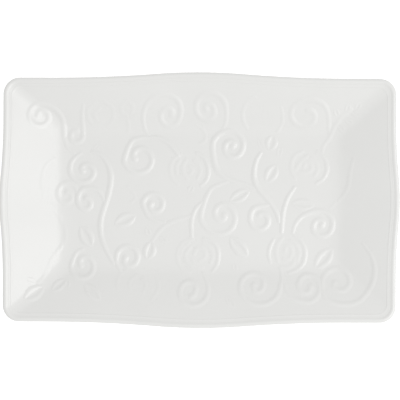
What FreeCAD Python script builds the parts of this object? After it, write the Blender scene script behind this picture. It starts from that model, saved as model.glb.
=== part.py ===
import FreeCAD, Part
import math
import os

# A rectangular porcelain serving platter with a serpentine edge: each side swells out gently in the
# middle. A rolled bead runs round the rim with a fine ridge just inside it. Sloping walls lead down
# to a flat well, and a low unglazed foot ring carries it. Vines, curled scrolls, roses, buds and
# leaves stand up in low relief over the well and the walls, as sprigs: thin moulded pieces laid on
# the body.
# Frame: origin on the resting plane, under the middle of the platter. +X runs along the long side,
# +Z up. Everything is in millimetres.

# Overall
LENGTH = 360.0
WIDTH = 230.0
HEIGHT = 26.0

# Outer edge
CORNER_RADIUS = 15.0
LONG_SIDE_SWELL = 5.3
SHORT_SIDE_SWELL = 3.4
LONG_SIDE_PLAIN = 45.0     # from the end of the platter to where the long side starts to swell
SHORT_SIDE_PLAIN = 43.0
CREST_SHARE = 0.29         # part of a swell's two radii that belongs to its rounded crest

# Rim
BEAD_WIDTH = 5.8
BEAD_STAND = 1.4           # crest of the bead above the top of the wall inside it
BEAD_OUTER_ROUND = 2.2
BEAD_INNER_ROUND = 0.9
RIDGE_SETBACK = 1.9        # from the bead to the middle of the ridge
RIDGE_WIDTH = 2.2
RIDGE_STAND = 0.4

# Walls, well and foot
BODY_THICKNESS = 5.0
LONG_WALL_WIDTH = 46.2     # plan width of the walls along the two long sides, up to the bead
SHORT_WALL_WIDTH = 50.2
WELL_CORNER_RADIUS = 11.0
WELL_SWELL = 1.2
WELL_PLAIN = 26.0
FOOT_HEIGHT = 2.5
FOOT_WIDTH = 5.0
FOOT_SETBACK = 6.0         # from the edge of the well's underside to the foot
FOOT_CORNER_RADIUS = 14.0

# Relief
VINE_WIDTH = 3.6
CURL_WIDTH = 2.6                    # to which a scroll narrows at the end of its curl
VINE_STAND = 0.9
LEAF_STAND = 0.9
ROSE_STANDS = (0.8, 1.3, 1.8)       # outer petals, inner petals, heart
ROSE_SHARES = (1.0, 0.66, 0.33)     # radius of each of them
PETAL_NOTCH = 0.9                   # share of the radius at the notch between two petals
CRUMB_AREA = 3.0                    # trimmed scraps smaller than this are wiped off
SPIRAL_STEP = 45.0
EDGE_STEP = 4.0                     # spacing of the points that a vine's edges pass through
FEWEST_STEPS = 4                    # of them on a short vine

# The ornament is laid out for this size of platter, and is stretched with the platter.
DRAWN_LENGTH = 360.0
DRAWN_WIDTH = 230.0

# Scrolls: the points of the stalk, then the curl: its centre, the angle where it starts, which way
# it turns (1 is counter-clockwise) and its radius at each quarter turn.
SCROLLS = {
    "scroll_corner_top_left": (
        [(-113, 42), (-119, 47), (-122, 56), (-122.5, 66), (-124.5, 74), (-131, 81.5)],
        (-143.5, 75.5), 90, 1, (10.5, 9.7, 9, 7.5, 3.5, 2)),
    "scroll_top_left": (
        [(-105, 85), (-106, 76), (-105.5, 67)],
        (-110.8, 58), 0, -1, (5.6, 6.2, 5.3, 4)),
    "scroll_left_upper": (
        [(-107, 42), (-112.5, 38), (-116, 33)],
        (-104, 26), 180, 1, (12.8, 10, 8.6, 5.5, 1.5)),
    "scroll_left_inner": (
        [(-85, -4), (-88, 4), (-93, 9)],
        (-102, -0.5), 90, 1, (11, 7.8, 8, 3, 2)),
    "scroll_left_middle": (
        [(-110.5, 1), (-110.5, 8), (-113.5, 13)],
        (-119, 4.8), 90, 1, (10.5, 8.3, 7.5, 3, 2)),
    "scroll_left_lower": (
        [(-105, -44.5), (-111, -48)],
        (-104.5, -59.2), 180, 1, (11, 11, 9.3, 7.3, 2.2)),
    "scroll_vine_end": (
        [(-70.5, -64), (-74.3, -58.2)],
        (-64.3, -52.2), 180, -1, (10.5, 10.5, 8.8, 7, 2.2)),
    "scroll_upper_left": (
        [(-45, 56.5), (-54, 56), (-62, 52)],
        (-55, 37), 180, 1, (13, 12.5, 12, 9.5, 3.4)),
    "scroll_top_wall_left": (
        [(-45, 57), (-49.5, 64)],
        (-27, 77), 180, -1, (24, 17, 9.5, 10.5, 8, 5, 1.5)),
    "scroll_top_wall_middle": (
        [(21, 64.5), (23.5, 71)],
        (8, 82), 0, 1, (15.8, 14.5, 11.5, 9.5, 4.8, 4.5, 2.5)),
    "scroll_top_wall_right": (
        [(118, 56), (116.5, 65)],
        (97, 77.5), 0, 1, (18.5, 13, 15, 10.5, 6.3, 3.5)),
    "scroll_upper_centre": (
        [(50, 10), (40, 15), (30.5, 17.5), (21.5, 22), (14.5, 30)],
        (29.5, 49), 180, -1, (18, 13.3, 9.7, 10, 6.8, 4, 0.3)),
    "scroll_centre": (
        [(28, 18), (17, 14), (8.3, 7.7)],
        (20.3, -13.3), 180, 1, (19, 17, 11.5, 9.5, 6.3, 4.5, 2)),
    "scroll_centre_left": (
        [(-31.5, -20), (-39.5, -18.5), (-46.5, -14)],
        (-41.5, -3.5), 180, -1, (9.5, 9, 8.5, 6.8, 2.2)),
    "scroll_centre_right": (
        [(65, -3), (59, -4.5)],
        (54.2, -16), 90, 1, (10.8, 8.5, 10, 7.5, 3.5)),
    "scroll_right": (
        [(84, -29), (86.5, -21), (92, -14.5), (100, -10.5)],
        (109.2, -22), 90, -1, (12.8, 10.8, 10, 6.5, 4.5, 1)),
    "scroll_bottom_wall_left": (
        [(3, -66), (7, -73)],
        (-7, -82), 0, -1, (15, 12.5, 10.5, 8.5, 3.5, 4.5)),
    "scroll_bottom_wall_middle": (
        [(73, -60), (74.5, -69)],
        (52.5, -76), 0, -1, (21, 17.5, 15.5, 9.5, 5.5, 6, 3.5)),
    "scroll_bottom_wall_right": (
        [(74, -65), (76, -73.5), (80, -82.5), (86.5, -88.5)],
        (97.5, -77.5), 270, 1, (13.5, 11, 10.5, 8, 5, 2.5)),
    "scroll_corner_bottom_right": (
        [(147, -39), (154, -48), (157.5, -60), (156.5, -71), (152, -81), (145, -89), (136, -92.8)],
        (124, -74), 270, -1, (18.5, 13.5, 13, 11.5, 6, 2.4)),
}

# Vines and stems: the points that each one passes through.
VINES = {
    "vine_left": [[
        (-97, 43.5), (-89.5, 40.5), (-83.5, 33), (-80.3, 24), (-80.3, 15), (-82.5, 4), (-86, -7),
        (-88.8, -17), (-89.3, -27), (-87, -38), (-82, -49), (-77, -57.5)]],
    "vine_left_wall": [[
        (-130, 37.5), (-138, 31), (-141.3, 20.5), (-141, 9), (-137.5, 0), (-131, -8.5),
        (-125, -17), (-121, -27), (-121.5, -37), (-127, -46), (-133, -54.5), (-136, -62.5),
        (-140.5, -70), (-146, -76)]],
    "vine_upper": [[(-45, 56.8), (-36.5, 56), (-28.5, 51.5), (-22.5, 45), (-19, 40)]],
    "vine_right": [[
        (55, 43), (51, 36), (49, 27), (49.3, 19), (52.5, 11), (58.5, 4.2), (64.5, -3), (69.3, -11),
        (71.5, -19)]],
    "vine_top_right": [[(110, 42), (111.5, 49), (117, 57), (121, 66), (127.5, 75), (136, 82)]],
    "vine_right_wall": [[(117.5, -7), (122.5, -2), (129.5, 4.5), (134, 14), (135.5, 26), (138.5, 38)]],
    "stem_rose_centre": [[(3, -1.5), (-2.5, -6.5), (-6.2, -14), (-7.4, -23), (-7, -33)]],
    "stem_rose_lower_right": [[(85.7, 12), (79.7, 3), (76.2, -7), (74.7, -17), (74, -28)]],
    "stem_bud_left": [[(-7, -14), (-14, -16), (-22, -18.5), (-30.5, -22.5), (-37.5, -29.5), (-43, -38)]],
    "tendrils": [
        [(49.5, 93), (42.5, 88.5), (38.8, 80.5), (39, 72), (43, 64.5)],
        [(73, 84), (74.5, 77), (74, 69), (70, 62)],
        [(-3.5, 67.5), (2.5, 64), (5.5, 58.5), (4, 53), (0, 51)],
        [(-65, 12), (-59.5, 6.5), (-57.8, 2), (-61, -1.5)]],
}

# Roses: centre, radius, number of outer petals.
ROSES = {
    "rose_centre": ((-0.5, -49), 19.5, 8),
    "rose_lower_right": ((79.5, -48), 19, 8),
    "rose_upper_right": ((98, 30.5), 17.5, 7),
    "rose_upper_middle": ((-9.5, 27), 17, 7),
    "rose_top_wall": ((-89, 76), 12.5, 6),
    "rose_bottom_wall": ((-55.5, -77), 18, 7),
    "flower_top_wall": ((-65, 82), 7.5, 5),
}

# Buds and leaves: centre, length, width, angle of the tip from +X.
BUDS = {
    "bud_left": [((-45, -45.5), 17, 13, 255), ((-46.5, -29), 10, 6, 110), ((-32, -36), 11, 6, 330)],
    "bud_right": [((64.5, 52), 14, 13, 75), ((55, 50.5), 14, 5.5, 118), ((72, 44.5), 14, 6, 80)],
}
LEAVES = {
    "leaves_left": [
        ((-102, -33), 21, 14, 298), ((-93, 47.5), 9, 5, 45), ((-67, -18), 21, 14, 25)],
    "leaves_centre": [
        ((36, 4), 21, 12, 30), ((35.5, -42), 24, 14, 312), ((32, -60.5), 8, 6, 280),
        ((-8, 10), 9, 6, 60)],
    "leaves_right": [
        ((64.5, 24.3), 19, 13, 60), ((93, -3.5), 21, 12, 355), ((112, -52), 24, 15, 50)],
    "leaves_top_right_corner": [
        ((123, 79), 9, 6, 110), ((133, 83), 9, 6, 80), ((142, 85), 9, 6, 60),
        ((140, 78), 9, 6, 350), ((134, 71.5), 10, 6, 330), ((127.5, 65), 9, 6, 320)],
    "leaves_bottom_left_corner": [
        ((-148.5, -84), 22, 14, 215), ((-126.5, -77), 17, 10, 40), ((-119, -76), 11, 6, 80),
        ((-151, -73), 10, 6, 150), ((-96, -83), 21, 12, 315)],
    "leaves_bottom_wall": [((28, -91.5), 14, 8, 305), ((-42, -91), 10, 6, 210)],
}

TOLERANCE = 1e-3           # within which an edge counts as lying on a line

Vector = FreeCAD.Vector
WALL_TOP_Z = HEIGHT - BEAD_STAND
WELL_Z = FOOT_HEIGHT + BODY_THICKNESS


class Plan:
    """Half sizes, swells and corner radius of a four-sided outline whose sides swell out."""

    def __init__(self, half_x, half_y, swell_x, swell_y, plain_x, plain_y, corner):
        self.halves = (half_y, half_x)
        self.swells = (swell_y, swell_x)
        self.reaches = (half_x - plain_x, half_y - plain_y)
        self.corner = corner


EDGE = Plan(LENGTH / 2, WIDTH / 2, SHORT_SIDE_SWELL, LONG_SIDE_SWELL,
            LONG_SIDE_PLAIN, SHORT_SIDE_PLAIN, CORNER_RADIUS)
WELL_HALF_X = LENGTH / 2 - BEAD_WIDTH - SHORT_WALL_WIDTH
WELL_HALF_Y = WIDTH / 2 - BEAD_WIDTH - LONG_WALL_WIDTH
WELL = Plan(WELL_HALF_X, WELL_HALF_Y, WELL_SWELL, WELL_SWELL, WELL_PLAIN, WELL_PLAIN,
            WELL_CORNER_RADIUS)
FOOT = Plan(WELL_HALF_X - FOOT_SETBACK, WELL_HALF_Y - FOOT_SETBACK, WELL_SWELL, WELL_SWELL,
            WELL_PLAIN, WELL_PLAIN, FOOT_CORNER_RADIUS)


def arc(start, middle, end):
    return Part.Arc(start, middle, end).toShape()


def polar(centre, radius, degrees):
    angle = math.radians(degrees)
    return centre + Vector(radius * math.cos(angle), radius * math.sin(angle), 0)


def outline(plan, inset, z):
    """Closed wire of a plan, brought inward by inset, at height z: five edges a side, four corners."""
    edges = []
    for quarter in range(4):
        side = quarter % 2
        half, swell, reach = plan.halves[side], plan.swells[side], plan.reaches[side]
        along = plan.halves[1 - side] - plan.swells[1 - side] - plan.corner
        level = half - swell
        turn = 2 * math.atan(swell / reach)
        radii_sum = reach / math.sin(turn)
        crest = CREST_SHARE * radii_sum
        hollow = radii_sum - crest
        crest_centre = Vector(0, half - crest, z)
        hollow_centre = Vector(reach, level + hollow, z)
        half_turn = math.degrees(turn) / 2
        join = polar(crest_centre, crest - inset, 90 - 2 * half_turn)
        hollow_middle = polar(hollow_centre, hollow + inset, 270 - half_turn)
        foot = Vector(reach, level - inset, z)
        corner_centre = Vector(-along, level - plan.corner, z)
        corner_radius = plan.corner - inset

        def mirrored(point):
            return Vector(-point.x, point.y, point.z)

        pieces = [
            Part.LineSegment(Vector(along, level - inset, z), foot).toShape(),
            arc(foot, hollow_middle, join),
            arc(join, Vector(0, half - inset, z), mirrored(join)),
            arc(mirrored(join), mirrored(hollow_middle), mirrored(foot)),
            Part.LineSegment(mirrored(foot), Vector(-along, level - inset, z)).toShape(),
            arc(*(polar(corner_centre, corner_radius, degrees) for degrees in (90, 135, 180))),
        ]
        for piece in pieces:
            piece.rotate(Vector(0, 0, 0), Vector(0, 0, 1), 90 * quarter)
            edges.append(piece)
    return Part.Wire(edges)


def slab(plan, inset, bottom, top):
    return Part.Face(outline(plan, inset, bottom)).extrude(Vector(0, 0, top - bottom))


def band(plan, outer_inset, inner_inset, bottom, top):
    """Closed ring of constant width that follows a plan."""
    return slab(plan, outer_inset, bottom, top).cut(slab(plan, inner_inset, bottom, top))


def edges_on(shape, plan, inset, z):
    """The edges of a shape that run along one outline of a plan."""
    line = outline(plan, inset, z)
    return [edge for edge in shape.Edges
            if edge.BoundBox.ZLength < TOLERANCE and abs(edge.BoundBox.ZMin - z) < TOLERANCE
            and line.distToShape(Part.Vertex(edge.valueAt(edge.FirstParameter)))[0] < TOLERANCE
            and line.distToShape(Part.Vertex(edge.valueAt(edge.LastParameter)))[0] < TOLERANCE]


def hollow_of_walls():
    """The space above the well, up to the top of the walls."""
    return Part.makeLoft([outline(WELL, 0, WELL_Z), outline(EDGE, BEAD_WIDTH, WALL_TOP_Z)], True, True)


def make_body(hollow):
    """Well and walls of one thickness, and square at the top where they meet the bead."""
    under = hollow.translated(Vector(0, 0, -BODY_THICKNESS))
    top = slab(EDGE, BEAD_WIDTH, WALL_TOP_Z - BODY_THICKNESS, WALL_TOP_Z)
    return under.fuse(top).cut(hollow)


def make_rim_bead():
    """Rolled outer edge, rounded all along."""
    bottom = WALL_TOP_Z - BODY_THICKNESS
    bead = band(EDGE, 0, BEAD_WIDTH, bottom, HEIGHT)
    outer = edges_on(bead, EDGE, 0, HEIGHT) + edges_on(bead, EDGE, 0, bottom)
    bead = bead.makeFillet(BEAD_OUTER_ROUND, outer)
    return bead.makeFillet(BEAD_INNER_ROUND, edges_on(bead, EDGE, BEAD_WIDTH, HEIGHT))


def make_rim_ridge(hollow):
    """Fine raised line round the walls, just inside the bead."""
    middle = BEAD_WIDTH + RIDGE_SETBACK
    line = band(EDGE, middle - RIDGE_WIDTH / 2, middle + RIDGE_WIDTH / 2, WELL_Z, HEIGHT)
    return line.common(hollow.cut(hollow.translated(Vector(0, 0, RIDGE_STAND))))


def make_foot_ring():
    return band(FOOT, 0, FOOT_WIDTH, 0, FOOT_HEIGHT)


def placed(point):
    """A point of the ornament's layout, stretched to this platter."""
    return Vector(point[0] * LENGTH / DRAWN_LENGTH, point[1] * WIDTH / DRAWN_WIDTH, 0)


def drawn_scale():
    """Growth of the small motifs, which keep their shape: the lesser of the two stretches."""
    return min(LENGTH / DRAWN_LENGTH, WIDTH / DRAWN_WIDTH)


def scroll_points(stalk, centre, start, turn, radii):
    """The stalk's points, then the curl's, with the radius changing evenly over each quarter turn."""
    points = list(stalk)
    steps = int(90 / SPIRAL_STEP)
    for step in range(steps * (len(radii) - 1) + 1):
        quarter, rest = divmod(step, steps)
        following = radii[min(quarter + 1, len(radii) - 1)]
        radius = radii[quarter] + (following - radii[quarter]) * rest / steps
        angle = math.radians(start + turn * step * SPIRAL_STEP)
        points.append((centre[0] + radius * math.cos(angle), centre[1] + radius * math.sin(angle)))
    return points


def spline(points):
    curve = Part.BSplineCurve()
    curve.interpolate(points)
    return curve


def vine_face(points, start_width, end_width):
    """Flat band about a smooth line through the points, with round ends and an even taper."""
    line = spline([placed(point) for point in points])
    first, last = line.FirstParameter, line.LastParameter
    count = max(FEWEST_STEPS, int(line.length(first, last) / EDGE_STEP))
    left, right, tips = [], [], []
    for step in range(count + 1):
        share = step / count
        parameter = first + (last - first) * share
        half_width = (start_width + (end_width - start_width) * share) * drawn_scale() / 2
        point = line.value(parameter)
        ahead = Vector(*line.tangent(parameter)[0]) * half_width
        across = Vector(-ahead.y, ahead.x, 0)
        left.append(point + across)
        right.append(point - across)
        tips.append((point - ahead, point + ahead))
    return Part.Face(Part.Wire([
        spline(left).toShape(),
        arc(left[-1], tips[-1][1], right[-1]),
        spline(right[::-1]).toShape(),
        arc(right[0], tips[0][0], left[0]),
    ]))


def leaf_face(centre, length, width, angle):
    """Pointed leaf: two arcs from the base to the tip."""
    middle = placed(centre)
    length, width = length * drawn_scale(), width * drawn_scale()
    base, tip = polar(middle, length / 2, angle + 180), polar(middle, length / 2, angle)
    side, other = polar(middle, width / 2, angle + 90), polar(middle, width / 2, angle - 90)
    return Part.Face(Part.Wire([arc(base, side, tip), arc(tip, other, base)]))


def rose_face(centre, radius, petals):
    """Rosette: one arc a petal, with shallow notches between the petals."""
    middle = placed(centre)
    step = 360 / petals
    notch = PETAL_NOTCH * radius
    return Part.Face(Part.Wire([
        arc(polar(middle, notch, step * petal),
            polar(middle, radius, step * (petal + 0.5)),
            polar(middle, notch, step * (petal + 1)))
        for petal in range(petals)]))


def trimmed(face, laid):
    """What is left of a face beside those already laid, without scraps."""
    for other in laid:
        if face.BoundBox.intersect(other.BoundBox):
            face = face.cut(other)
    return [piece for piece in face.Faces if piece.Area > CRUMB_AREA]


def relief(faces, stand, hollow, layers):
    """Solids that follow the well and the walls under the faces, raised by stand."""
    if stand not in layers:
        layers[stand] = hollow.cut(hollow.translated(Vector(0, 0, stand)))
    solids = []
    for face in faces:
        solids += face.extrude(Vector(0, 0, HEIGHT)).common(layers[stand]).Solids
    return solids


def make_rose(centre, radius, petals, hollow, layers):
    """Three tiers of petals, each smaller and higher than the one below."""
    tiers = []
    for stand, share in zip(ROSE_STANDS, ROSE_SHARES):
        face = rose_face(centre, radius * share * drawn_scale(), petals)
        tiers += relief([face], stand, hollow, layers)
    return tiers[0].multiFuse(tiers[1:]).removeSplitter().Solids


def make_sprigs(hollow):
    """Every piece of the relief by name. Roses and buds are laid first and the rest trimmed to them."""
    layers = {}
    laid = []
    sprigs = {}
    for name, (centre, radius, petals) in ROSES.items():
        sprigs[name] = make_rose(centre, radius, petals, hollow, layers)
        laid.append(rose_face(centre, radius * drawn_scale(), petals))
    faces_of = {name: [leaf_face(*leaf) for leaf in leaves] for name, leaves in BUDS.items()}
    for name, scroll in SCROLLS.items():
        faces_of[name] = [vine_face(scroll_points(*scroll), VINE_WIDTH, CURL_WIDTH)]
    for name, lines in VINES.items():
        faces_of[name] = [vine_face(line, VINE_WIDTH, VINE_WIDTH) for line in lines]
    for name, leaves in LEAVES.items():
        faces_of[name] = [leaf_face(*leaf) for leaf in leaves]
    for name, faces in faces_of.items():
        stand = LEAF_STAND if name in BUDS or name in LEAVES else VINE_STAND
        sprigs[name] = []
        for face in faces:
            pieces = trimmed(face, laid)
            laid += pieces
            sprigs[name] += relief(pieces, stand, hollow, layers)
    return sprigs


def main():
    hollow = hollow_of_walls()
    nodes = {
        "body": [make_body(hollow)],
        "foot_ring": [make_foot_ring()],
        "rim_bead": [make_rim_bead()],
        "rim_ridge": make_rim_ridge(hollow).Solids,
    }
    nodes.update(make_sprigs(hollow))
    os.makedirs("parts", exist_ok=True)
    for name, solids in nodes.items():
        if not solids:
            raise ValueError(name + " has no solid")
        shape = solids[0] if len(solids) == 1 else Part.makeCompound(solids)
        shape.exportStep("parts/" + name + ".step")
        print(name, "solids", len(shape.Solids), "volume", round(shape.Volume), "valid", shape.isValid())


main()
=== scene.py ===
# %% [markdown]
# # A porcelain serving platter with vines in relief
# This lesson dresses a rectangular porcelain platter: a serpentine edge with a rolled bead, sloping
# walls, a flat well, and a low relief of vines, scrolls, roses and leaves under one clear glaze.
# The engineering model comes first and fixes every size, so we load it, with every part left where it
# stands.

# %% Load the frame
import math

import bpy
import numpy as np
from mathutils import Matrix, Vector


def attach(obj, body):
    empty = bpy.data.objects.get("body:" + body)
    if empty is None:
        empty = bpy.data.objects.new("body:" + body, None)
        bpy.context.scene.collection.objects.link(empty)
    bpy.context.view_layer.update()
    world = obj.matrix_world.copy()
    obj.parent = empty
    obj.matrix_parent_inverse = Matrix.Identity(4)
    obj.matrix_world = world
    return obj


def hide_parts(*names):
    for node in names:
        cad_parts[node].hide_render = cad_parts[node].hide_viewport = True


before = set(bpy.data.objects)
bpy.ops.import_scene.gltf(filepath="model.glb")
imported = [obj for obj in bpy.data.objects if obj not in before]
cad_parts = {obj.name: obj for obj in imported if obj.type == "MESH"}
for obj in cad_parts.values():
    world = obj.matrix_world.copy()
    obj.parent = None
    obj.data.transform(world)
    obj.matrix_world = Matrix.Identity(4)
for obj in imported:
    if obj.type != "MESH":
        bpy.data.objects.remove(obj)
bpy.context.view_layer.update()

# %% [markdown]
# ## Sizes
# Everything is written in millimetres, as a potter's drawing would be, and becomes metres in one
# place. The layout repeats the engineering drawing, because that file can't be read from here.

# %% Sizes of the platter
MM = 0.001
LENGTH, WIDTH, HEIGHT = 360, 230, 26
CORNER_RADIUS = 15
LONG_SWELL, SHORT_SWELL = 5.3, 3.4        # how far the middle of a side stands out
LONG_PLAIN, SHORT_PLAIN = 45, 43          # straight part at each end of a side
CREST_SHARE = 0.29
BEAD_WIDTH, BEAD_STAND = 5.8, 1.4
RIDGE_SETBACK, RIDGE_HALF, RIDGE_STAND = 1.9, 1.3, 0.22
WELL_HALVES = (124, 63)
WELL_CORNER, WELL_SWELL, WELL_PLAIN = 11, 1.2, 26
THICKNESS = 5
FOOT_HEIGHT, FOOT_WIDTH, FOOT_SETBACK, FOOT_CORNER = 2.5, 5, 6, 14
WALL_TOP_Z = HEIGHT - BEAD_STAND
WELL_Z = FOOT_HEIGHT + THICKNESS
WALL_RUN = 48.2                           # plan width of a wall, the mean of the long and short ones
WALL_SLOPE = (WALL_TOP_Z - WELL_Z) / WALL_RUN
print("walls fall from", WALL_TOP_Z, "mm to", WELL_Z, "mm above the table")

# %% [markdown]
# ## Materials
# Colours are chosen as hex values on a screen, which are gamma-coded, while the renderer adds up
# light in linear numbers. One function turns the first into the second.

# %% Colour and nodes helpers
def colour(hex_value):
    """An sRGB hex colour as linear RGBA."""
    channels = [int(hex_value[i:i + 2], 16) / 255 for i in (1, 3, 5)]
    return [c / 12.92 if c <= 0.04045 else ((c + 0.055) / 1.055) ** 2.4 for c in channels] + [1]


def add_node(tree, kind, inputs=None, **settings):
    """Adds one node, sets its options, and sets or links its inputs."""
    node = tree.nodes.new(kind)
    for name, value in settings.items():
        setattr(node, name, value)
    for key, value in (inputs or {}).items():
        if isinstance(value, bpy.types.NodeSocket):
            tree.links.new(value, node.inputs[key])
        else:
            node.inputs[key].default_value = value
    return node


# %% [markdown]
# ## Glazed porcelain
# Porcelain is a dense, very white body under a clear glassy glaze. The glaze gives two looks at
# once: a soft, slightly warm white from the body and a sharp, thin reflection from the top. The
# Principled shader's coat is that top layer. Real glaze is never quite level, so a slow wave, about
# 14 mm long and a few hundredths deep, bends the reflections a little, and its thickness shifts the
# white by a hair.

# %% Glazed porcelain
def make_glazed_porcelain():
    material = bpy.data.materials.new("porcelain_under_clear_glaze")
    material.use_nodes = True
    tree = material.node_tree
    shader = tree.nodes["Principled BSDF"]
    place = add_node(tree, "ShaderNodeTexCoord")
    pooling = add_node(tree, "ShaderNodeTexNoise", {
        "Vector": place.outputs["Object"], "Scale": 1 / (35 * MM), "Detail": 2.0, "Roughness": 0.5})
    tint = add_node(tree, "ShaderNodeMix", {
        "Factor": pooling.outputs["Fac"], 6: colour("#D9D9D7"), 7: colour("#DCDCDA")},
        data_type="RGBA")
    wave = add_node(tree, "ShaderNodeTexNoise", {
        "Vector": place.outputs["Object"], "Scale": 1 / (14 * MM), "Detail": 1.0, "Roughness": 0.4})
    bump = add_node(tree, "ShaderNodeBump", {
        "Height": wave.outputs["Fac"], "Strength": 0.5, "Distance": 0.12 * MM})
    tree.links.new(tint.outputs[2], shader.inputs["Base Color"])
    tree.links.new(bump.outputs["Normal"], shader.inputs["Normal"])
    tree.links.new(bump.outputs["Normal"], shader.inputs["Coat Normal"])
    shader.inputs["Roughness"].default_value = 0.4
    shader.inputs["IOR"].default_value = 1.5
    shader.inputs["Coat Weight"].default_value = 0.5
    shader.inputs["Coat Roughness"].default_value = 0.14
    shader.inputs["Coat IOR"].default_value = 1.5
    return material


glazed_porcelain = make_glazed_porcelain()
print("made", glazed_porcelain.name)

# %% [markdown]
# ## Bare porcelain
# The foot is wiped clean of glaze before firing so that it doesn't stick to the kiln shelf. What
# shows there is bisque: matt, a little creamier, and finely gritty to the touch, with grit of about
# half a millimetre.

# %% Bare porcelain
def make_bare_porcelain():
    material = bpy.data.materials.new("porcelain_bisque")
    material.use_nodes = True
    tree = material.node_tree
    shader = tree.nodes["Principled BSDF"]
    place = add_node(tree, "ShaderNodeTexCoord")
    grit = add_node(tree, "ShaderNodeTexNoise", {
        "Vector": place.outputs["Object"], "Scale": 1 / (0.5 * MM), "Detail": 3.0})
    stain = add_node(tree, "ShaderNodeTexNoise", {
        "Vector": place.outputs["Object"], "Scale": 1 / (12 * MM), "Detail": 2.0})
    tint = add_node(tree, "ShaderNodeMix", {
        "Factor": stain.outputs["Fac"], 6: colour("#CFCAC0"), 7: colour("#DEDAD1")},
        data_type="RGBA")
    bump = add_node(tree, "ShaderNodeBump", {
        "Height": grit.outputs["Fac"], "Strength": 0.6, "Distance": 0.1 * MM})
    tree.links.new(tint.outputs[2], shader.inputs["Base Color"])
    tree.links.new(bump.outputs["Normal"], shader.inputs["Normal"])
    shader.inputs["Roughness"].default_value = 0.75
    shader.inputs["IOR"].default_value = 1.5
    return material


bare_porcelain = make_bare_porcelain()
print("made", bare_porcelain.name)

# %% [markdown]
# ## The outline
# Each side is a straight run, a hollow arc, a rounded crest and the same back again, so the edge
# swells out gently in its middle. Because all of it is lines and arcs, the outline can be brought
# inward by any distance by changing only radii. Giving every outline the same number of points, in
# the same order, lets us blend one into another later.

# %% Outline of the platter and of its well
STRAIGHT_STEPS, HOLLOW_STEPS, CREST_STEPS, CORNER_STEPS = 10, 14, 8, 16


def outline(halves, swells, plains, corner, inset=0):
    """Points round a four-sided outline with swelling sides, counter-clockwise from the upper right."""
    points = []
    for quarter in range(4):
        along_axis, across_axis = (0, 1) if quarter % 2 == 0 else (1, 0)
        half, swell = halves[across_axis], swells[across_axis]
        reach = halves[along_axis] - plains[along_axis]
        turn = 2 * math.atan(swell / reach)
        crest = CREST_SHARE * reach / math.sin(turn)
        hollow = (1 - CREST_SHARE) * reach / math.sin(turn)
        level = half - swell
        along = halves[along_axis] - swells[along_axis] - corner
        run = [(along + (reach - along) * i / STRAIGHT_STEPS, level - inset)
               for i in range(STRAIGHT_STEPS)]
        for i in range(HOLLOW_STEPS):
            angle = turn * i / HOLLOW_STEPS
            run.append((reach - (hollow + inset) * math.sin(angle),
                        level + hollow - (hollow + inset) * math.cos(angle)))
        for i in range(CREST_STEPS + 1):
            angle = turn * (1 - i / CREST_STEPS)
            run.append(((crest - inset) * math.sin(angle),
                        half - crest + (crest - inset) * math.cos(angle)))
        run += [(-x, y) for x, y in reversed(run[1:-1])]
        for i in range(CORNER_STEPS):
            angle = math.radians(90 + 90 * i / CORNER_STEPS)
            run.append((-along + (corner - inset) * math.cos(angle),
                        level - corner + (corner - inset) * math.sin(angle)))
        cos, sin = [(1, 0), (0, 1), (-1, 0), (0, -1)][quarter]
        points += [(x * cos - y * sin, x * sin + y * cos) for x, y in run]
    return points


def edge_outline(inset=0):
    return outline((LENGTH / 2, WIDTH / 2), (SHORT_SWELL, LONG_SWELL), (LONG_PLAIN, SHORT_PLAIN),
                   CORNER_RADIUS, inset)


def well_outline(setback=0, corner=WELL_CORNER):
    return outline([half - setback for half in WELL_HALVES], (WELL_SWELL,) * 2, (WELL_PLAIN,) * 2,
                   corner)


def line_object(name, lines, closed=False):
    """A curve object of straight runs through points given in millimetres."""
    curve = bpy.data.curves.new(name, "CURVE")
    curve.dimensions = "3D"
    for line in lines:
        spline = curve.splines.new("POLY")
        spline.points.add(len(line) - 1)
        for point, place in zip(spline.points, line):
            point.co = (place[0] * MM, place[1] * MM, (place[2] if len(place) > 2 else 0) * MM, 1)
        spline.use_cyclic_u = closed
    made = bpy.data.objects.new(name, curve)
    bpy.context.scene.collection.objects.link(made)
    return made


guides = {
    "edge": line_object("guide_edge", [edge_outline(0)], True),
    "wall_top": line_object("guide_wall_top", [edge_outline(BEAD_WIDTH)], True),
    "well": line_object("guide_well", [well_outline()], True),
}
print("each outline has", len(edge_outline(0)), "points")

# %% [markdown]
# ## One rule for everything that runs round the platter
# The body, the bead, the fine ridge and the foot ring are all the same idea: a cross-section carried
# round the outline. A sweep alone would keep its distance from the edge, but here the walls must
# lean from the wavy rim to the straighter well. So a Geometry Nodes tree sweeps the section for its
# faces, and then sets every point by rule: the section's x, in millimetres from the outer edge,
# says how far it has come from the rim to the wall's foot and on to the centre.

# %% The tree that carries a section round
def new_tree(name, sockets):
    """A Geometry Nodes tree with a geometry in and out and the named inputs."""
    tree = bpy.data.node_groups.new(name, "GeometryNodeTree")
    tree.interface.new_socket("Geometry", in_out="INPUT", socket_type="NodeSocketGeometry")
    tree.interface.new_socket("Geometry", in_out="OUTPUT", socket_type="NodeSocketGeometry")
    for label, kind in sockets:
        tree.interface.new_socket(label, in_out="INPUT", socket_type="NodeSocket" + kind)
    return tree, tree.nodes.new("NodeGroupInput").outputs, tree.nodes.new("NodeGroupOutput").inputs


def curve_of(tree, object_socket):
    return add_node(tree, "GeometryNodeObjectInfo", {"Object": object_socket}).outputs["Geometry"]


def stored(tree, geometry, value, kind="FLOAT_VECTOR"):
    """Keeps a value on each point, so that it is still there after the sweep."""
    node = add_node(tree, "GeometryNodeCaptureAttribute", {"Geometry": geometry})
    node.capture_items.new("VECTOR" if kind == "FLOAT_VECTOR" else "FLOAT", "kept")
    tree.links.new(value, node.inputs[1])
    return node.outputs["Geometry"], node.outputs[1]


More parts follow.
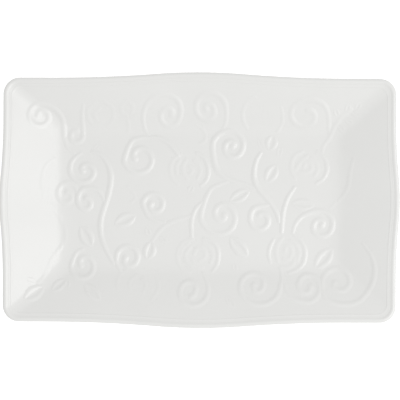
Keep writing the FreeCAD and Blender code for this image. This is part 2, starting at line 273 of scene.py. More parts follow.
def build_round_tree():
    tree, given, result = new_tree("section_carried_round", [
        ("Section", "Object"), ("Wall top", "Object"), ("Well", "Object"), ("Rim width", "Float"),
        ("Wall run", "Float"), ("Well reach", "Float"), ("Material", "Material")])
    place = add_node(tree, "GeometryNodeInputPosition").outputs[0]
    index = add_node(tree, "GeometryNodeInputIndex").outputs[0]
    rail, edge_at = stored(tree, given["Geometry"], place)
    matched = []
    for name in ("Wall top", "Well"):
        sample = add_node(tree, "GeometryNodeSampleIndex", {
            "Geometry": curve_of(tree, given[name]), "Value": place, "Index": index},
            data_type="FLOAT_VECTOR", domain="POINT")
        rail, kept = stored(tree, rail, sample.outputs[0])
        matched.append(kept)
    section, section_at = stored(tree, curve_of(tree, given["Section"]), place)
    swept = add_node(tree, "GeometryNodeCurveToMesh", {"Curve": rail, "Profile Curve": section})
    section_xy = add_node(tree, "ShaderNodeSeparateXYZ", {0: section_at}).outputs
    distance = section_xy["X"]
    position = edge_at
    start = 0.0
    targets = [(matched[0], given["Rim width"]), (matched[1], given["Wall run"]),
               ((0.0, 0.0, 0.0), given["Well reach"])]
    for target, run in targets:
        end = add_node(tree, "ShaderNodeMath", {0: start, 1: run}, operation="ADD").outputs[0]
        share = add_node(tree, "ShaderNodeMapRange", {
            "Value": distance, "From Min": start, "From Max": end}).outputs[0]
        position = add_node(tree, "ShaderNodeMix", {"Factor": share, 4: position, 5: target},
                            data_type="VECTOR").outputs[1]
        start = end
    flat = add_node(tree, "ShaderNodeSeparateXYZ", {0: position}).outputs
    final = add_node(tree, "ShaderNodeCombineXYZ", {
        "X": flat["X"], "Y": flat["Y"], "Z": section_xy["Y"]}).outputs[0]
    moved = add_node(tree, "GeometryNodeSetPosition", {
        "Geometry": swept.outputs[0], "Position": final})
    closed = add_node(tree, "GeometryNodeMergeByDistance", {
        "Geometry": moved.outputs[0], "Distance": 1e-6})
    smooth = add_node(tree, "GeometryNodeSetShadeSmooth", {"Geometry": closed.outputs[0]})
    real = add_node(tree, "GeometryNodeRealizeInstances", {"Geometry": smooth.outputs[0]})
    final = add_node(tree, "GeometryNodeSetMaterial", {
        "Geometry": real.outputs[0], "Material": given["Material"]})
    tree.links.new(final.outputs[0], result["Geometry"])
    return tree


round_tree = build_round_tree()
print("tree", round_tree.name, "has", len(round_tree.nodes), "nodes")

# %% [markdown]
# ## From nodes to a plain mesh
# The finished piece has to be an ordinary mesh, with its faces outwards, so we evaluate the object
# once, keep the result, and drop the modifier and the guide it started from. The signed volume
# tells us whether the faces point outwards: a mesh turned inside out has a negative one.

# %% Turn a node result into a finished piece
def signed_volume(mesh):
    mesh.calc_loop_triangles()
    corners = np.empty(len(mesh.vertices) * 3)
    mesh.vertices.foreach_get("co", corners)
    corners = corners.reshape(-1, 3)
    index = np.empty(len(mesh.loop_triangles) * 3, int)
    mesh.loop_triangles.foreach_get("vertices", index)
    a, b, c = corners[index.reshape(-1, 3)].transpose(1, 0, 2)
    return float(np.einsum("ij,ij->i", a, np.cross(b, c)).sum() / 6)


def finished(name, guide, tree, values):
    """Runs the tree on the guide with the named values and keeps the result as a plain mesh object."""
    modifier = guide.modifiers.new(tree.name, "NODES")
    modifier.node_group = tree
    for item in tree.interface.items_tree:
        if item.in_out == "INPUT" and item.name in values:
            modifier[item.identifier] = values[item.name]
    bpy.context.view_layer.update()
    evaluated = guide.evaluated_get(bpy.context.evaluated_depsgraph_get())
    mesh = bpy.data.meshes.new_from_object(evaluated)
    mesh.name = name
    volume = signed_volume(mesh)
    if volume < 0:
        mesh.flip_normals()
    guide.modifiers.remove(modifier)
    piece = bpy.data.objects.new(name, mesh)
    bpy.context.scene.collection.objects.link(piece)
    print(name, len(mesh.vertices), "points", round(abs(volume) * 1e6, 2), "cm3")
    return piece


# %% [markdown]
# ## Rounded sections
# A section is a short list of corners, each with the radius of the curve that the clay, the mould
# and the glaze leave there. The helper replaces every corner by an arc. Long straight stretches are
# divided, so that the mesh has evenly sized faces.

# %% Sections with rounded corners
def rounded(corners, closed=False, stretch=6):
    """Points along a line whose corners (x, y, radius) are rounded by arcs."""
    points = []
    count = len(corners)
    for i, (x, y, radius) in enumerate(corners):
        here = Vector((x, y))
        if not radius or (not closed and i in (0, count - 1)):
            points.append(here)
            continue
        back = (Vector(corners[i - 1][:2]) - here).normalized()
        ahead = (Vector(corners[(i + 1) % count][:2]) - here).normalized()
        half = back.angle(ahead) / 2
        centre = here + (back + ahead).normalized() * (radius / math.sin(half))
        first, last = here + back * (radius / math.tan(half)), here + ahead * (radius / math.tan(half))
        turn = (first - centre).angle_signed(last - centre)
        steps = max(4, int(abs(turn) / math.radians(9)))
        for step in range(steps + 1):
            arm = first - centre
            angle = -turn * step / steps
            points.append(centre + Vector((arm.x * math.cos(angle) - arm.y * math.sin(angle),
                                           arm.x * math.sin(angle) + arm.y * math.cos(angle))))
    divided = []
    ends = points[1:] + (points[:1] if closed else [])
    for start, end in zip(points, ends):
        parts = max(1, round((end - start).length / stretch))
        divided += [start.lerp(end, part / parts) for part in range(parts)]
    return divided + ([] if closed else [points[-1]])


def carried_round(name, section, closed, well="well", reach=WELL_HALVES[1]):
    guide = line_object("guide_section", [section], closed)
    piece = finished(name, guides["edge"], round_tree, {
        "Section": guide, "Wall top": guides["wall_top"], "Well": guides[well],
        "Rim width": BEAD_WIDTH * MM, "Wall run": WALL_RUN * MM, "Well reach": reach * MM,
        "Material": glazed_porcelain})
    bpy.data.objects.remove(guide)
    return piece


# %% [markdown]
# ## The body
# Slip-cast porcelain has one thickness all over, because the slip builds up evenly on the mould.
# The underside therefore follows the top, 5 mm lower, and every bend is soft. The section runs from
# the middle of the underside, up the wall, under the bead and back down to the middle of the well.

# %% Body
WALL_FOOT = BEAD_WIDTH + WALL_RUN
MIDDLE = WALL_FOOT + WELL_HALVES[1]
LAP = 0.6                                 # how far the body reaches in under the bead
body_section = rounded([
    (MIDDLE, WELL_Z - THICKNESS, 0), (WALL_FOOT, WELL_Z - THICKNESS, 16),
    (BEAD_WIDTH, WALL_TOP_Z - THICKNESS, 3), (BEAD_WIDTH - LAP, WALL_TOP_Z - THICKNESS + 0.2, 0.2),
    (BEAD_WIDTH - LAP, WALL_TOP_Z + LAP * WALL_SLOPE, 0.2), (WALL_FOOT, WELL_Z, 45), (MIDDLE, WELL_Z, 0)])
body = carried_round("platter_body", body_section, False)

# %% [markdown]
# ## Bead, ridge and foot
# The rolled bead is what a hand feels at the edge. Its outer side is round, and its inner side runs
# down into a small groove where the glaze pools. The fine ridge beside it is a low rounded line. The
# foot ring is the only part that the table touches, with its corners rubbed soft.

# %% Bead
bead_section = rounded([
    (0, WALL_TOP_Z - THICKNESS, 2.3), (0, HEIGHT + 0.5, 2.5), (3.4, HEIGHT - 0.35, 2),
    (BEAD_WIDTH - 0.4, WALL_TOP_Z, 1.5),
    (BEAD_WIDTH + 1, WALL_TOP_Z - WALL_SLOPE - 0.06, 0), (BEAD_WIDTH + 0.7, WALL_TOP_Z - 1.2, 0.2),
    (BEAD_WIDTH - 0.3, WALL_TOP_Z - THICKNESS, 0.2)], True, 1)
rim_bead = carried_round("rolled_bead", bead_section, True)

# %% Ridge
ridge_section = []
for step in range(-6, 7):
    share = step / 6
    across = RIDGE_SETBACK + share * RIDGE_HALF
    rise = RIDGE_STAND * (1 - share * share) ** 2 - 0.04
    ridge_section.append((BEAD_WIDTH + across, WALL_TOP_Z - across * WALL_SLOPE + rise))
ridge_section.append((BEAD_WIDTH + RIDGE_SETBACK, WALL_TOP_Z - RIDGE_SETBACK * WALL_SLOPE - 0.5))
rim_ridge = carried_round("fine_ridge", ridge_section, True)

# %% Foot ring
guides["foot"] = line_object("guide_foot", [well_outline(FOOT_SETBACK, FOOT_CORNER)], True)
foot_section = rounded([
    (WALL_FOOT, 0, 1.2), (WALL_FOOT + FOOT_WIDTH, 0, 1.2),
    (WALL_FOOT + FOOT_WIDTH, FOOT_HEIGHT + 0.3, 0), (WALL_FOOT, FOOT_HEIGHT + 0.3, 0)], True, 1)
foot_ring = carried_round("foot_ring_bisque", foot_section, True, well="foot",
                          reach=WELL_HALVES[1] - FOOT_SETBACK)
foot_ring.data.materials[0] = bare_porcelain

# %% [markdown]
# ## Relief
# On the real piece the relief is cut into the mould, so a vine is part of the body, and the glaze
# softens it into a low swelling with no edge where it starts. A section swept along a line would
# fold over itself in the tight curls. So each motif is drawn as soft strokes, lines with a half
# width at each point, and a Geometry Nodes tree lays a fine grid over them, finds each grid point's
# distance from the nearest line, and raises it by a bell-shaped rule. Where the motif ends the grid
# is cut away, just under the ground. A ray straight down then drops the sheet on the platter, and an
# extrusion closes it. A second set of strokes, the folds, all rise to one height whatever their width.
# They are for the low inner petals of a rose.

# %% Small helpers for the trees
def arithmetic(tree, operation, *values, clamp=False):
    node = add_node(tree, "ShaderNodeMath", dict(enumerate(values)), operation=operation,
                    use_clamp=clamp)
    return node.outputs[0]


def smooth_line(tree, curve, step):
    """The curve as short edges along a Catmull-Rom spline, and the half width kept on them."""
    spline = add_node(tree, "GeometryNodeCurveSplineType", {"Curve": curve},
                      spline_type="CATMULL_ROM")
    line = add_node(tree, "GeometryNodeResampleCurve", {
        "Curve": spline.outputs[0], "Length": step}, mode="LENGTH")
    kept, half_width = stored(tree, line.outputs[0],
                              add_node(tree, "GeometryNodeInputRadius").outputs[0], "FLOAT")
    edges = add_node(tree, "GeometryNodeCurveToMesh", {"Curve": kept}).outputs[0]
    return edges, half_width


def reach_of(tree, edges, half_width):
    """For the point being placed: how far it is from the line as a share of the half width there."""
    near = add_node(tree, "GeometryNodeProximity", {"Geometry": edges}, target_element="EDGES")
    nearest = add_node(tree, "GeometryNodeSampleNearest", {"Geometry": edges}, domain="POINT")
    sample = add_node(tree, "GeometryNodeSampleIndex", {
        "Geometry": edges, "Value": half_width, "Index": nearest.outputs[0]},
        data_type="FLOAT", domain="POINT").outputs[0]
    share = arithmetic(tree, "MINIMUM", arithmetic(tree, "DIVIDE", near.outputs["Distance"], sample),
                       1.0)
    valid = near.outputs["Is Valid"]
    return share, arithmetic(tree, "MULTIPLY", sample, valid), valid


def bell(tree, share, power):
    """(1 - share ** power) squared: level on top and level at the foot."""
    fallen = arithmetic(tree, "SUBTRACT", 1.0, arithmetic(tree, "POWER", share, power))
    return arithmetic(tree, "MULTIPLY", fallen, fallen)


# %% The tree that raises a relief over its strokes
def build_relief_tree():
    tree, given, result = new_tree("relief_over_strokes", [
        ("Folds", "Object"), ("Ground", "Object"), ("Steepness", "Float"),
        ("Fold height", "Float"), ("Cell", "Float"), ("Margin", "Float"), ("Sink", "Float"),
        ("Thickness", "Float"), ("Softening", "Int"), ("Material", "Material")])
    ridges, ridge_width = smooth_line(tree, given["Geometry"], given["Cell"])
    folds, fold_width = smooth_line(tree, curve_of(tree, given["Folds"]), given["Cell"])
    both = add_node(tree, "GeometryNodeJoinGeometry", {0: ridges})
    tree.links.new(folds, both.inputs[0])
    box = add_node(tree, "GeometryNodeBoundBox", {0: both.outputs[0]}).outputs
    margin = add_node(tree, "ShaderNodeCombineXYZ", {"X": given["Margin"], "Y": given["Margin"]})
    low = add_node(tree, "ShaderNodeVectorMath", {0: box["Min"], 1: margin.outputs[0]},
                   operation="SUBTRACT").outputs[0]
    high = add_node(tree, "ShaderNodeVectorMath", {0: box["Max"], 1: margin.outputs[0]},
                    operation="ADD").outputs[0]
    size = add_node(tree, "ShaderNodeVectorMath", {0: high, 1: low}, operation="SUBTRACT").outputs[0]
    middle = add_node(tree, "ShaderNodeMix", {0: 0.5, 4: low, 5: high}, data_type="VECTOR").outputs[1]
    size = add_node(tree, "ShaderNodeSeparateXYZ", {0: size}).outputs
    counts = [arithmetic(tree, "CEIL", arithmetic(tree, "DIVIDE", size[axis], given["Cell"]))
              for axis in "XY"]
    grid = add_node(tree, "GeometryNodeMeshGrid", {
        "Size X": size["X"], "Size Y": size["Y"], "Vertices X": counts[0], "Vertices Y": counts[1]})
    sheet = add_node(tree, "GeometryNodeSetPosition", {"Geometry": grid.outputs[0], "Offset": middle})

    share, half_width, valid = reach_of(tree, ridges, ridge_width)
    ridge = arithmetic(tree, "MULTIPLY", bell(tree, share, 2.0),
                       arithmetic(tree, "MULTIPLY", half_width, given["Steepness"]))
    share, half_width, valid = reach_of(tree, folds, fold_width)
    fold = arithmetic(tree, "MULTIPLY", bell(tree, share, 2.0),
                      arithmetic(tree, "MULTIPLY", given["Fold height"], valid))
    softened = add_node(tree, "GeometryNodeBlurAttribute", {
        "Value": arithmetic(tree, "ADD", ridge, fold), "Iterations": given["Softening"]},
        data_type="FLOAT").outputs[0]
    raised, height = stored(tree, sheet.outputs[0], softened, "FLOAT")
    outside = add_node(tree, "FunctionNodeCompare", {0: height, 1: arithmetic(
        tree, "MULTIPLY", given["Sink"], 0.25)}, operation="LESS_THAN", data_type="FLOAT")
    kept = add_node(tree, "GeometryNodeDeleteGeometry", {
        "Geometry": raised, "Selection": outside.outputs[0]}, domain="POINT")
    faces = add_node(tree, "GeometryNodeInputMeshVertexNeighbors").outputs["Face Count"]
    loose = add_node(tree, "FunctionNodeCompare", {2: faces, 3: 0}, operation="EQUAL",
                     data_type="INT")
    kept = add_node(tree, "GeometryNodeDeleteGeometry", {
        "Geometry": kept.outputs[0], "Selection": loose.outputs[0]}, domain="POINT")

    place = add_node(tree, "GeometryNodeInputPosition").outputs[0]
    above = add_node(tree, "ShaderNodeVectorMath", {0: place, 1: (0.0, 0.0, 1.0)}, operation="ADD")
    ray = add_node(tree, "GeometryNodeRaycast", {
        "Target Geometry": curve_of(tree, given["Ground"]), "Source Position": above.outputs[0],
        "Ray Direction": (0.0, 0.0, -1.0), "Ray Length": 2.0})
    ground = add_node(tree, "ShaderNodeSeparateXYZ", {0: ray.outputs["Hit Position"]}).outputs["Z"]
    lowered = arithmetic(tree, "SUBTRACT", arithmetic(tree, "ADD", ground, height),
                         arithmetic(tree, "ADD", given["Sink"], given["Thickness"]))
    dropped = add_node(tree, "GeometryNodeSetPosition", {
        "Geometry": kept.outputs[0],
        "Offset": add_node(tree, "ShaderNodeCombineXYZ", {"Z": lowered}).outputs[0]}).outputs[0]
    top = add_node(tree, "GeometryNodeExtrudeMesh", {
        "Mesh": dropped, "Individual": False, "Offset Scale": 1.0,
        "Offset": add_node(tree, "ShaderNodeCombineXYZ", {"Z": given["Thickness"]}).outputs[0]},
        mode="FACES")
    underside = add_node(tree, "GeometryNodeFlipFaces", {0: dropped})
    joined = add_node(tree, "GeometryNodeJoinGeometry", {0: top.outputs[0]})
    tree.links.new(underside.outputs[0], joined.inputs[0])
    closed = add_node(tree, "GeometryNodeMergeByDistance", {
        "Geometry": joined.outputs[0], "Distance": 1e-6})
    smooth = add_node(tree, "GeometryNodeSetShadeSmooth", {"Geometry": closed.outputs[0]})
    bend = add_node(tree, "GeometryNodeInputMeshEdgeAngle").outputs["Unsigned Angle"]
    corner = add_node(tree, "FunctionNodeCompare", {0: bend, 1: math.radians(40)},
                      operation="GREATER_THAN", data_type="FLOAT")
    smooth = add_node(tree, "GeometryNodeSetShadeSmooth", {
        "Geometry": smooth.outputs[0], "Selection": corner.outputs[0], "Shade Smooth": False},
        domain="EDGE")
    real = add_node(tree, "GeometryNodeRealizeInstances", {"Geometry": smooth.outputs[0]})
    final = add_node(tree, "GeometryNodeSetMaterial", {
        "Geometry": real.outputs[0], "Material": given["Material"]})
    tree.links.new(final.outputs[0], result["Geometry"])
    return tree


relief_tree = build_relief_tree()
print("tree", relief_tree.name, "has", len(relief_tree.nodes), "nodes")

# %% [markdown]
# ## The layout of the scrolls
# Each scroll is a stalk and a curl. The stalk is a few points. The curl is a spiral, given by its
# centre, the angle where it starts, the way it turns and its radius at each quarter turn, with the
# radius easing from one to the next.

# %% Scrolls
def spiral(stalk, centre, start, turn, radii):
    """The stalk's points followed by the curl's, three a quarter turn."""
    points = list(stalk)
    steps = 3
    for step in range(steps * (len(radii) - 1) + 1):
        quarter, rest = divmod(step, steps)
        before, here, after, beyond = (radii[min(max(quarter + i, 0), len(radii) - 1)]
                                       for i in (-1, 0, 1, 2))
        t = rest / steps
        radius = here + 0.5 * t * (after - before + t * (
            2 * before - 5 * here + 4 * after - beyond + t * (3 * (here - after) + beyond - before)))
        angle = math.radians(start + turn * 90 * step / steps)
        points.append((centre[0] + radius * math.cos(angle), centre[1] + radius * math.sin(angle)))
    return points


SCROLLS = {
    "scroll_corner_top_left": (
        [(-113, 42), (-119, 47), (-122, 56), (-122.5, 66), (-124.5, 74), (-131, 81.5)],
        (-143.5, 75.5), 90, 1, (10.5, 9.7, 9, 7.5, 3.5, 2)),
    "scroll_top_left": (
        [(-105, 85), (-106, 76), (-105.5, 67)],
        (-110.8, 58), 0, -1, (5.6, 6.2, 5.3, 4)),
    "scroll_left_upper": (
        [(-107, 42), (-112.5, 38), (-116, 33)],
        (-104, 26), 180, 1, (12.8, 10, 8.6, 5.5, 1.5)),
    "scroll_left_inner": (
        [(-85, -4), (-88, 4), (-93, 9)],
        (-102, -0.5), 90, 1, (11, 7.8, 8, 3, 2)),
    "scroll_left_middle": (
        [(-110.5, 1), (-110.5, 8), (-113.5, 13)],
        (-119, 4.8), 90, 1, (10.5, 8.3, 7.5, 3, 2)),
    "scroll_left_lower": (
        [(-105, -44.5), (-111, -48)],
        (-104.5, -59.2), 180, 1, (11, 11, 9.3, 7.3, 2.2)),
    "scroll_vine_end": (
        [(-70.5, -64), (-74.3, -58.2)],
        (-64.3, -52.2), 180, -1, (10.5, 10.5, 8.8, 7, 2.2)),
    "scroll_upper_left": (
        [(-45, 56.5), (-54, 56), (-62, 52)],
        (-55, 37), 180, 1, (13, 12.5, 12, 9.5, 3.4)),
    "scroll_top_wall_left": (
        [(-45, 57), (-49.5, 64)],
        (-27, 77), 180, -1, (24, 17, 9.5, 10.5, 8, 5, 1.5)),
    "scroll_top_wall_middle": (
        [(21, 64.5), (23.5, 71)],
        (8, 82), 0, 1, (15.8, 14.5, 11.5, 9.5, 4.8, 4.5, 2.5)),
    "scroll_top_wall_right": (
        [(118, 56), (116.5, 65)],
        (97, 77.5), 0, 1, (18.5, 13, 15, 10.5, 6.3, 3.5)),
    "scroll_upper_centre": (
        [(50, 10), (40, 15), (30.5, 17.5), (21.5, 22), (14.5, 30)],
        (29.5, 49), 180, -1, (18, 13.3, 9.7, 10, 6.8, 4, 0.3)),
    "scroll_centre": (
        [(28, 18), (17, 14), (8.3, 7.7)],
        (20.3, -13.3), 180, 1, (19, 17, 11.5, 9.5, 6.3, 4.5, 2)),
    "scroll_centre_left": (
        [(-31.5, -20), (-39.5, -18.5), (-46.5, -14)],
        (-41.5, -3.5), 180, -1, (9.5, 9, 8.5, 6.8, 2.2)),
    "scroll_centre_right": (
        [(65, -3), (59, -4.5)],
        (54.2, -16), 90, 1, (10.8, 8.5, 10, 7.5, 3.5)),
    "scroll_right": (
        [(84, -29), (86.5, -21), (92, -14.5), (100, -10.5)],
        (109.2, -22), 90, -1, (12.8, 10.8, 10, 6.5, 4.5, 1)),
    "scroll_bottom_wall_left": (
        [(3, -66), (7, -73)],
        (-7, -82), 0, -1, (15, 12.5, 10.5, 8.5, 3.5, 4.5)),
    "scroll_bottom_wall_middle": (
        [(73, -60), (74.5, -69)],
        (52.5, -76), 0, -1, (21, 17.5, 15.5, 9.5, 5.5, 6, 3.5)),
    "scroll_bottom_wall_right": (
        [(74, -65), (76, -73.5), (80, -82.5), (86.5, -88.5)],
        (97.5, -77.5), 270, 1, (13.5, 11, 10.5, 8, 5, 2.5)),
    "scroll_corner_bottom_right": (
        [(147, -39), (154, -48), (157.5, -60), (156.5, -71), (152, -81), (145, -89), (136, -92.8)],
        (124, -74), 270, -1, (18.5, 13.5, 13, 11.5, 6, 2.4)),
}
VINES = {
    "vine_left": [[
        (-97, 43.5), (-89.5, 40.5), (-83.5, 33), (-80.3, 24), (-80.3, 15), (-82.5, 4), (-86, -7),
        (-88.8, -17), (-89.3, -27), (-87, -38), (-82, -49), (-77, -57.5)]],
    "vine_left_wall": [[
        (-130, 37.5), (-138, 31), (-141.3, 20.5), (-141, 9), (-137.5, 0), (-131, -8.5),
        (-125, -17), (-121, -27), (-121.5, -37), (-127, -46), (-133, -54.5), (-136, -62.5),
        (-140.5, -70), (-146, -76)]],
    "vine_upper": [[(-45, 56.8), (-36.5, 56), (-28.5, 51.5), (-22.5, 45), (-19, 40)]],
    "vine_right": [[
        (55, 43), (51, 36), (49, 27), (49.3, 19), (52.5, 11), (58.5, 4.2), (64.5, -3), (69.3, -11),
        (71.5, -19)]],
    "vine_top_right": [[(110, 42), (111.5, 49), (117, 57), (121, 66), (127.5, 75), (136, 82)]],
    "vine_right_wall": [[(117.5, -7), (122.5, -2), (129.5, 4.5), (134, 14), (135.5, 26), (138.5, 38)]],
    "stem_rose_centre": [[(3, -1.5), (-2.5, -6.5), (-6.2, -14), (-7.4, -23), (-7, -33)]],
    "stem_rose_lower_right": [[(85.7, 12), (79.7, 3), (76.2, -7), (74.7, -17), (74, -28)]],
    "stem_bud_left": [[(-7, -14), (-14, -16), (-22, -18.5), (-30.5, -22.5), (-37.5, -29.5), (-43, -38)]],
    "tendrils": [
        [(49.5, 93), (42.5, 88.5), (38.8, 80.5), (39, 72), (43, 64.5)],
        [(73, 84), (74.5, 77), (74, 69), (70, 62)],
        [(-3.5, 67.5), (2.5, 64), (5.5, 58.5), (4, 53), (0, 51)],
        [(-65, 12), (-59.5, 6.5), (-57.8, 2), (-61, -1.5)]],
}

# %% Laying a motif on the platter
VINE_HALF, VINE_STEEPNESS = 3.4, 0.26      # base half width in mm, and crest height over it
GRID_CELL, GRID_MARGIN = 0.6, 4.5          # of the grid that a motif is raised from, in mm
SINK, SHEET_THICKNESS = 0.04, 0.5          # how far its edge goes under the ground, and its own wall


def stroke(points, half_width, start=1, end=1, ends_over=3):
    """A line's points with a half width at each; start and end narrow its first and last points."""
    last = len(points) - 1
    widths = []
    for i in range(len(points)):
        grown = start + (1 - start) * min(i / ends_over, 1)
        narrowed = end + (1 - end) * min((last - i) / ends_over, 1)
        widths.append(half_width * grown * narrowed)
    return [(x, y, w) for (x, y), w in zip(points, widths)]


def raised_relief(node, strokes, folds=(), steepness=VINE_STEEPNESS, fold_height=0.3, softening=2):
    """One relief piece from its strokes, laid on the platter."""
    guide, base = ([line_object("guide_strokes", [[(x, y) for x, y, w in line] for line in lines])
                    for lines in (strokes, folds)])
    for thing, lines in ((guide, strokes), (base, folds)):
        for spline, line in zip(thing.data.splines, lines):
            for point, (x, y, w) in zip(spline.points, line):
                point.radius = w * MM
    piece = finished("relief_" + node, guide, relief_tree, {
        "Folds": base, "Ground": body, "Steepness": steepness, "Fold height": fold_height * MM,
        "Cell": GRID_CELL * MM, "Margin": GRID_MARGIN * MM, "Sink": SINK * MM,
        "Thickness": SHEET_THICKNESS * MM, "Softening": softening, "Material": glazed_porcelain})
    bpy.data.objects.remove(guide)
    bpy.data.objects.remove(base)
    return piece


# crest heights as shares of the full one: the mould is cut shallower on the walls, so that it still
# comes away, and in the fainter motifs
FAINT = {"scroll_corner_top_left": 0.55, "scroll_top_left": 0.6, "scroll_top_wall_left": 0.55,
         "scroll_top_wall_middle": 0.5, "scroll_top_wall_right": 0.45, "scroll_bottom_wall_left": 0.65,
         "scroll_bottom_wall_middle": 0.7, "scroll_bottom_wall_right": 0.65,
         "scroll_corner_bottom_right": 0.6, "vine_left_wall": 0.27, "vine_right_wall": 0.35,
         "vine_top_right": 0.5, "tendrils": 0.4, "stem_bud_left": 0.5, "scroll_left_middle": 0.55,
         "scroll_centre": 0.65, "vine_left": 0.85, "stem_rose_centre": 0.8, "bud_right": 0.75,
         "leaves_bottom_wall": 0.6, "leaves_right": 0.85}
pieces = {}
for name, scroll in SCROLLS.items():
    pieces[name] = raised_relief(name, [stroke(spiral(*scroll), VINE_HALF, 0.6, 1.15)],
                                 steepness=VINE_STEEPNESS * FAINT.get(name, 0.8))
for name, lines in VINES.items():
    pieces[name] = raised_relief(name, [stroke(line, VINE_HALF, 0.6, 0.7) for line in lines],
                                 steepness=VINE_STEEPNESS * FAINT.get(name, 1))

# %% [markdown]
# ## Leaves and buds
# A moulded leaf is two plump half-blades with a groove between them for the midrib. So a leaf is two
# fat curved strokes that meet at the stalk and at the tip. A bud is the same with rounder petals.

# %% Leaves and buds
LEAF_STEEPNESS = 0.19
BUDS = {
    "bud_left": [((-45, -45.5), 17, 13, 255), ((-46.5, -29), 10, 6, 110), ((-32, -36), 11, 6, 330)],
    "bud_right": [((64.5, 52), 14, 13, 75), ((55, 50.5), 14, 5.5, 118), ((72, 44.5), 14, 6, 80)],
}
LEAVES = {
    "leaves_left": [
        ((-102, -33), 21, 14, 298), ((-93, 47.5), 9, 5, 45), ((-67, -18), 21, 14, 25)],
    "leaves_centre": [
        ((36, 4), 21, 12, 30), ((35.5, -42), 24, 14, 312), ((32, -60.5), 8, 6, 280),
        ((-8, 10), 9, 6, 60)],
    "leaves_right": [
        ((64.5, 24.3), 19, 13, 60), ((93, -3.5), 21, 12, 355), ((112, -52), 24, 15, 50)],
    "leaves_top_right_corner": [
        ((123, 79), 9, 6, 110), ((133, 83), 9, 6, 80), ((142, 85), 9, 6, 60),
        ((140, 78), 9, 6, 350), ((134, 71.5), 10, 6, 330), ((127.5, 65), 9, 6, 320)],
    "leaves_bottom_left_corner": [
        ((-148.5, -84), 22, 14, 215), ((-126.5, -77), 17, 10, 40), ((-119, -76), 11, 6, 80),
        ((-151, -73), 10, 6, 150), ((-96, -83), 21, 12, 315)],
    "leaves_bottom_wall": [((28, -91.5), 14, 8, 305), ((-42, -91), 10, 6, 210)],
}


def blade(centre, length, width, angle):
    """The two half-blades of a leaf as strokes."""
    along = Vector((math.cos(math.radians(angle)), math.sin(math.radians(angle))))
    across = Vector((-along.y, along.x))
    halves = []
    for side in (1, -1):
        line = []
        for t in (-0.92, -0.5, 0, 0.45, 0.88):
            place = Vector(centre) + along * (t * length / 2) + across * (
                side * 0.29 * width * (1 - t * t))
            line.append((place.x, place.y, 0.25 * width * (1 - 0.72 * t * t)))
        halves.append(line)
    return halves


for name, leaves in {**BUDS, **LEAVES}.items():
    pieces[name] = raised_relief(name, [half for leaf in leaves for half in blade(*leaf)],
                                 steepness=LEAF_STEEPNESS * FAINT.get(name, 1), softening=1)

# %% [markdown]
# ## Roses
# A moulded rose is a cup of petals seen from above. One or two outer petals turn out over a clear
# lip, and the rest are only low folds that wind in to the heart, so each rose has a few lines of
# either kind.

# %% Roses
ROSES = {
    "rose_centre": ([
        [(4, -34.5), (11, -37), (16, -42.5), (17, -50), (16, -57.5), (12, -64)]], [
        [(-6, -35), (-14, -38), (-19, -45), (-19.5, -53), (-16, -60.5), (-8.5, -65)],
        [(-10, -39), (-15.5, -43.5), (-17, -49.5)],
        [(-8, -42), (-12.5, -48), (-11.5, -54.5), (-6, -59.5)],
        [(3, -39), (9.5, -43), (12.5, -49.5), (10, -56.5)],
        [(-5, -49), (-2.5, -44), (2, -43.5), (5.5, -47), (4.5, -52), (0, -54.5)],
        [(3, -60.5), (-3, -58.5), (-6.5, -54)]]),
    "rose_lower_right": ([
        [(85, -31), (91.5, -36), (94.8, -43), (95.2, -50.5), (93, -57.5), (87.5, -62.5), (80.5, -65.5)],
        [(67, -35), (63.5, -42), (62.5, -49), (64, -56)]], [
        [(75, -33.5), (70.5, -39.5), (69.3, -47), (71, -55)],
        [(82, -35.5), (87.5, -40), (90, -47), (88.5, -54)],
        [(73, -60), (79, -60.5), (84.5, -57), (86, -51.5)],
        [(77, -46), (78.5, -41), (82.5, -42), (83.5, -48), (80.5, -53), (76, -52.5)]]),
    "rose_upper_right": ([
        [(105.5, 44), (111.5, 39.5), (114.5, 33), (114.5, 26), (111, 19.5), (105, 15.5)]], [
        [(92.5, 44.5), (86, 40.5), (82.8, 34), (83, 26.5), (86.5, 20)],
        [(97, 40), (91.5, 35.5), (86.5, 28)],
        [(100, 38), (105, 34), (106.5, 28), (103.5, 22)],
        [(94, 30), (95.5, 34.5), (100, 34), (101, 29), (97, 25.5), (92.5, 26)]]),
    "rose_upper_middle": ([
        [(-3, 42.5), (3.5, 38.5), (7, 32), (7.8, 25), (6, 18), (1, 13)]], [
        [(-17, 41.5), (-23.5, 36.5), (-26.5, 29), (-25, 20.5), (-19.5, 14)],
        [(-17.5, 36.5), (-21, 31), (-20.5, 24)],
        [(-12, 36.5), (-15, 31), (-14.5, 24.5), (-11, 19.5)],
        [(-5, 35.5), (-0.5, 31.5), (0.5, 25.5), (-2, 19.5)],
        [(-9, 30), (-6.5, 27), (-9, 23.5)]]),
    "rose_top_wall": ([], [
        [(-93, 87.5), (-99.5, 83), (-101, 76), (-98, 69)],
        [(-86, 88), (-79.5, 84), (-77.5, 76), (-80.5, 68.5), (-87, 65)],
        [(-90, 82), (-94.5, 77.5), (-92.5, 71)]]),
    "rose_bottom_wall": ([], [
        [(-62, -61), (-69.5, -65.5), (-73.5, -72.5), (-73, -81)],
        [(-48, -61), (-41, -65.5), (-37, -72.5), (-37.5, -81.5), (-43, -90)],
        [(-57, -68), (-62.5, -73), (-62, -80)],
        [(-52, -70), (-48, -76), (-50.5, -83)]]),
    "flower_top_wall": ([], [
        [(-66, 88.5), (-70.5, 84.5), (-70, 78.5), (-65.5, 76)],
        [(-63.5, 88), (-60, 83.5), (-61.5, 78)],
        [(-65, 72), (-63.8, 67), (-64.5, 61.5)]]),
}
LIP_HALF, FOLD_HALF = 2.8, 3.0
LIP_STEEPNESS = 0.2
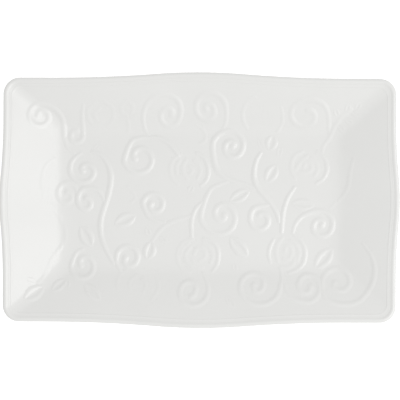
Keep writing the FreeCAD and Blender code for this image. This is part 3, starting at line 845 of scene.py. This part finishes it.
for name, (lips, folds) in ROSES.items():
    pieces[name] = raised_relief(name, [stroke(line, LIP_HALF, 0.75, 0.75, 2) for line in lips],
                                 [stroke(line, FOLD_HALF, 0.8, 0.8, 1) for line in folds],
                                 steepness=LIP_STEEPNESS, fold_height=0.2 if "wall" in name else 0.3)

# %% [markdown]
# ## Table, light and camera
# The platter stands on a plain white table that reaches far beyond the view. The room is white all
# round, with one broad soft lamp on the right, so that every ridge has a bright side and a shaded
# one, and a weak one in front that lifts the far wall. The table glows, to stay plain white in every
# view, but its glow is kept off the platter. The camera looks straight down through a long lens.

# %% Table
def make_table_white():
    material = bpy.data.materials.new("white_table_laminate")
    material.use_nodes = True
    shader = material.node_tree.nodes["Principled BSDF"]
    shader.inputs["Base Color"].default_value = colour("#FAFAFA")
    shader.inputs["Roughness"].default_value = 0.9
    shader.inputs["Specular IOR Level"].default_value = 0.1
    shader.inputs["Emission Color"].default_value = colour("#FFFFFF")
    shader.inputs["Emission Strength"].default_value = 0.45
    return material


table_mesh = bpy.data.meshes.new("table")
table_mesh.from_pydata([(-6, -6, 0), (6, -6, 0), (6, 6, 0), (-6, 6, 0)], [], [(0, 1, 2, 3)])
table_mesh.materials.append(make_table_white())
table = bpy.data.objects.new("table", table_mesh)
bpy.context.scene.collection.objects.link(table)
table.visible_diffuse = False               # its glow would burn out the underside
print("table of", len(table_mesh.polygons), "face")

# %% Light
scene = bpy.context.scene
world = bpy.data.worlds.new("white_room")
world.use_nodes = True
world.node_tree.nodes["Background"].inputs["Color"].default_value = colour("#FFFFFF")
world.node_tree.nodes["Background"].inputs["Strength"].default_value = 0.874
scene.world = world


def add_lamp(name, place, size, power):
    light = bpy.data.lights.new(name, "AREA")
    light.shape = "DISK"
    light.size = size
    light.energy = power
    lamp = bpy.data.objects.new(name, light)
    lamp.location = place
    lamp.rotation_mode = "QUATERNION"
    lamp.rotation_quaternion = Vector(place).to_track_quat("Z", "Y")
    bpy.context.scene.collection.objects.link(lamp)
    print(name, "gives", power, "W")


add_lamp("soft_lamp", (1.24, -0.50, 1.50), 1.6, 13.0)
add_lamp("front_lamp", (0.80, -1.30, 1.75), 1.0, 1.6)

# %% Camera
RIM_VIEW = 358.9 * MM                      # width of the view at the height of the rim
DISTANCE = 4.0
camera_data = bpy.data.cameras.new("camera")
camera_data.sensor_width = 36
camera_data.lens = 36 * DISTANCE / RIM_VIEW
camera_data.clip_start, camera_data.clip_end = 0.1, 20
camera = bpy.data.objects.new("camera", camera_data)
aim = Vector((0.35, 0.2, HEIGHT)) * MM
camera.location = aim + Vector((0, 0, DISTANCE))
camera.rotation_euler = (0, 0, math.radians(0.22))
scene.collection.objects.link(camera)
scene.camera = camera
scene.view_settings.view_transform = "Standard"
scene.view_settings.look = "None"
print("lens", round(camera_data.lens), "mm")

# %% [markdown]
# ## Joining the pieces to the frame
# The guide curves are dropped. Each piece then hangs under the body that it moves with, and the
# engineering solid that it stands for is hidden.

# %% Join the pieces to the frame
pieces.update({"body": body, "rim_bead": rim_bead, "rim_ridge": rim_ridge, "foot_ring": foot_ring})
for guide in guides.values():
    bpy.data.objects.remove(guide)
for node, piece in pieces.items():
    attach(piece, "root")
    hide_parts(node)
print(len(pieces), "pieces stand for", len(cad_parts), "nodes")
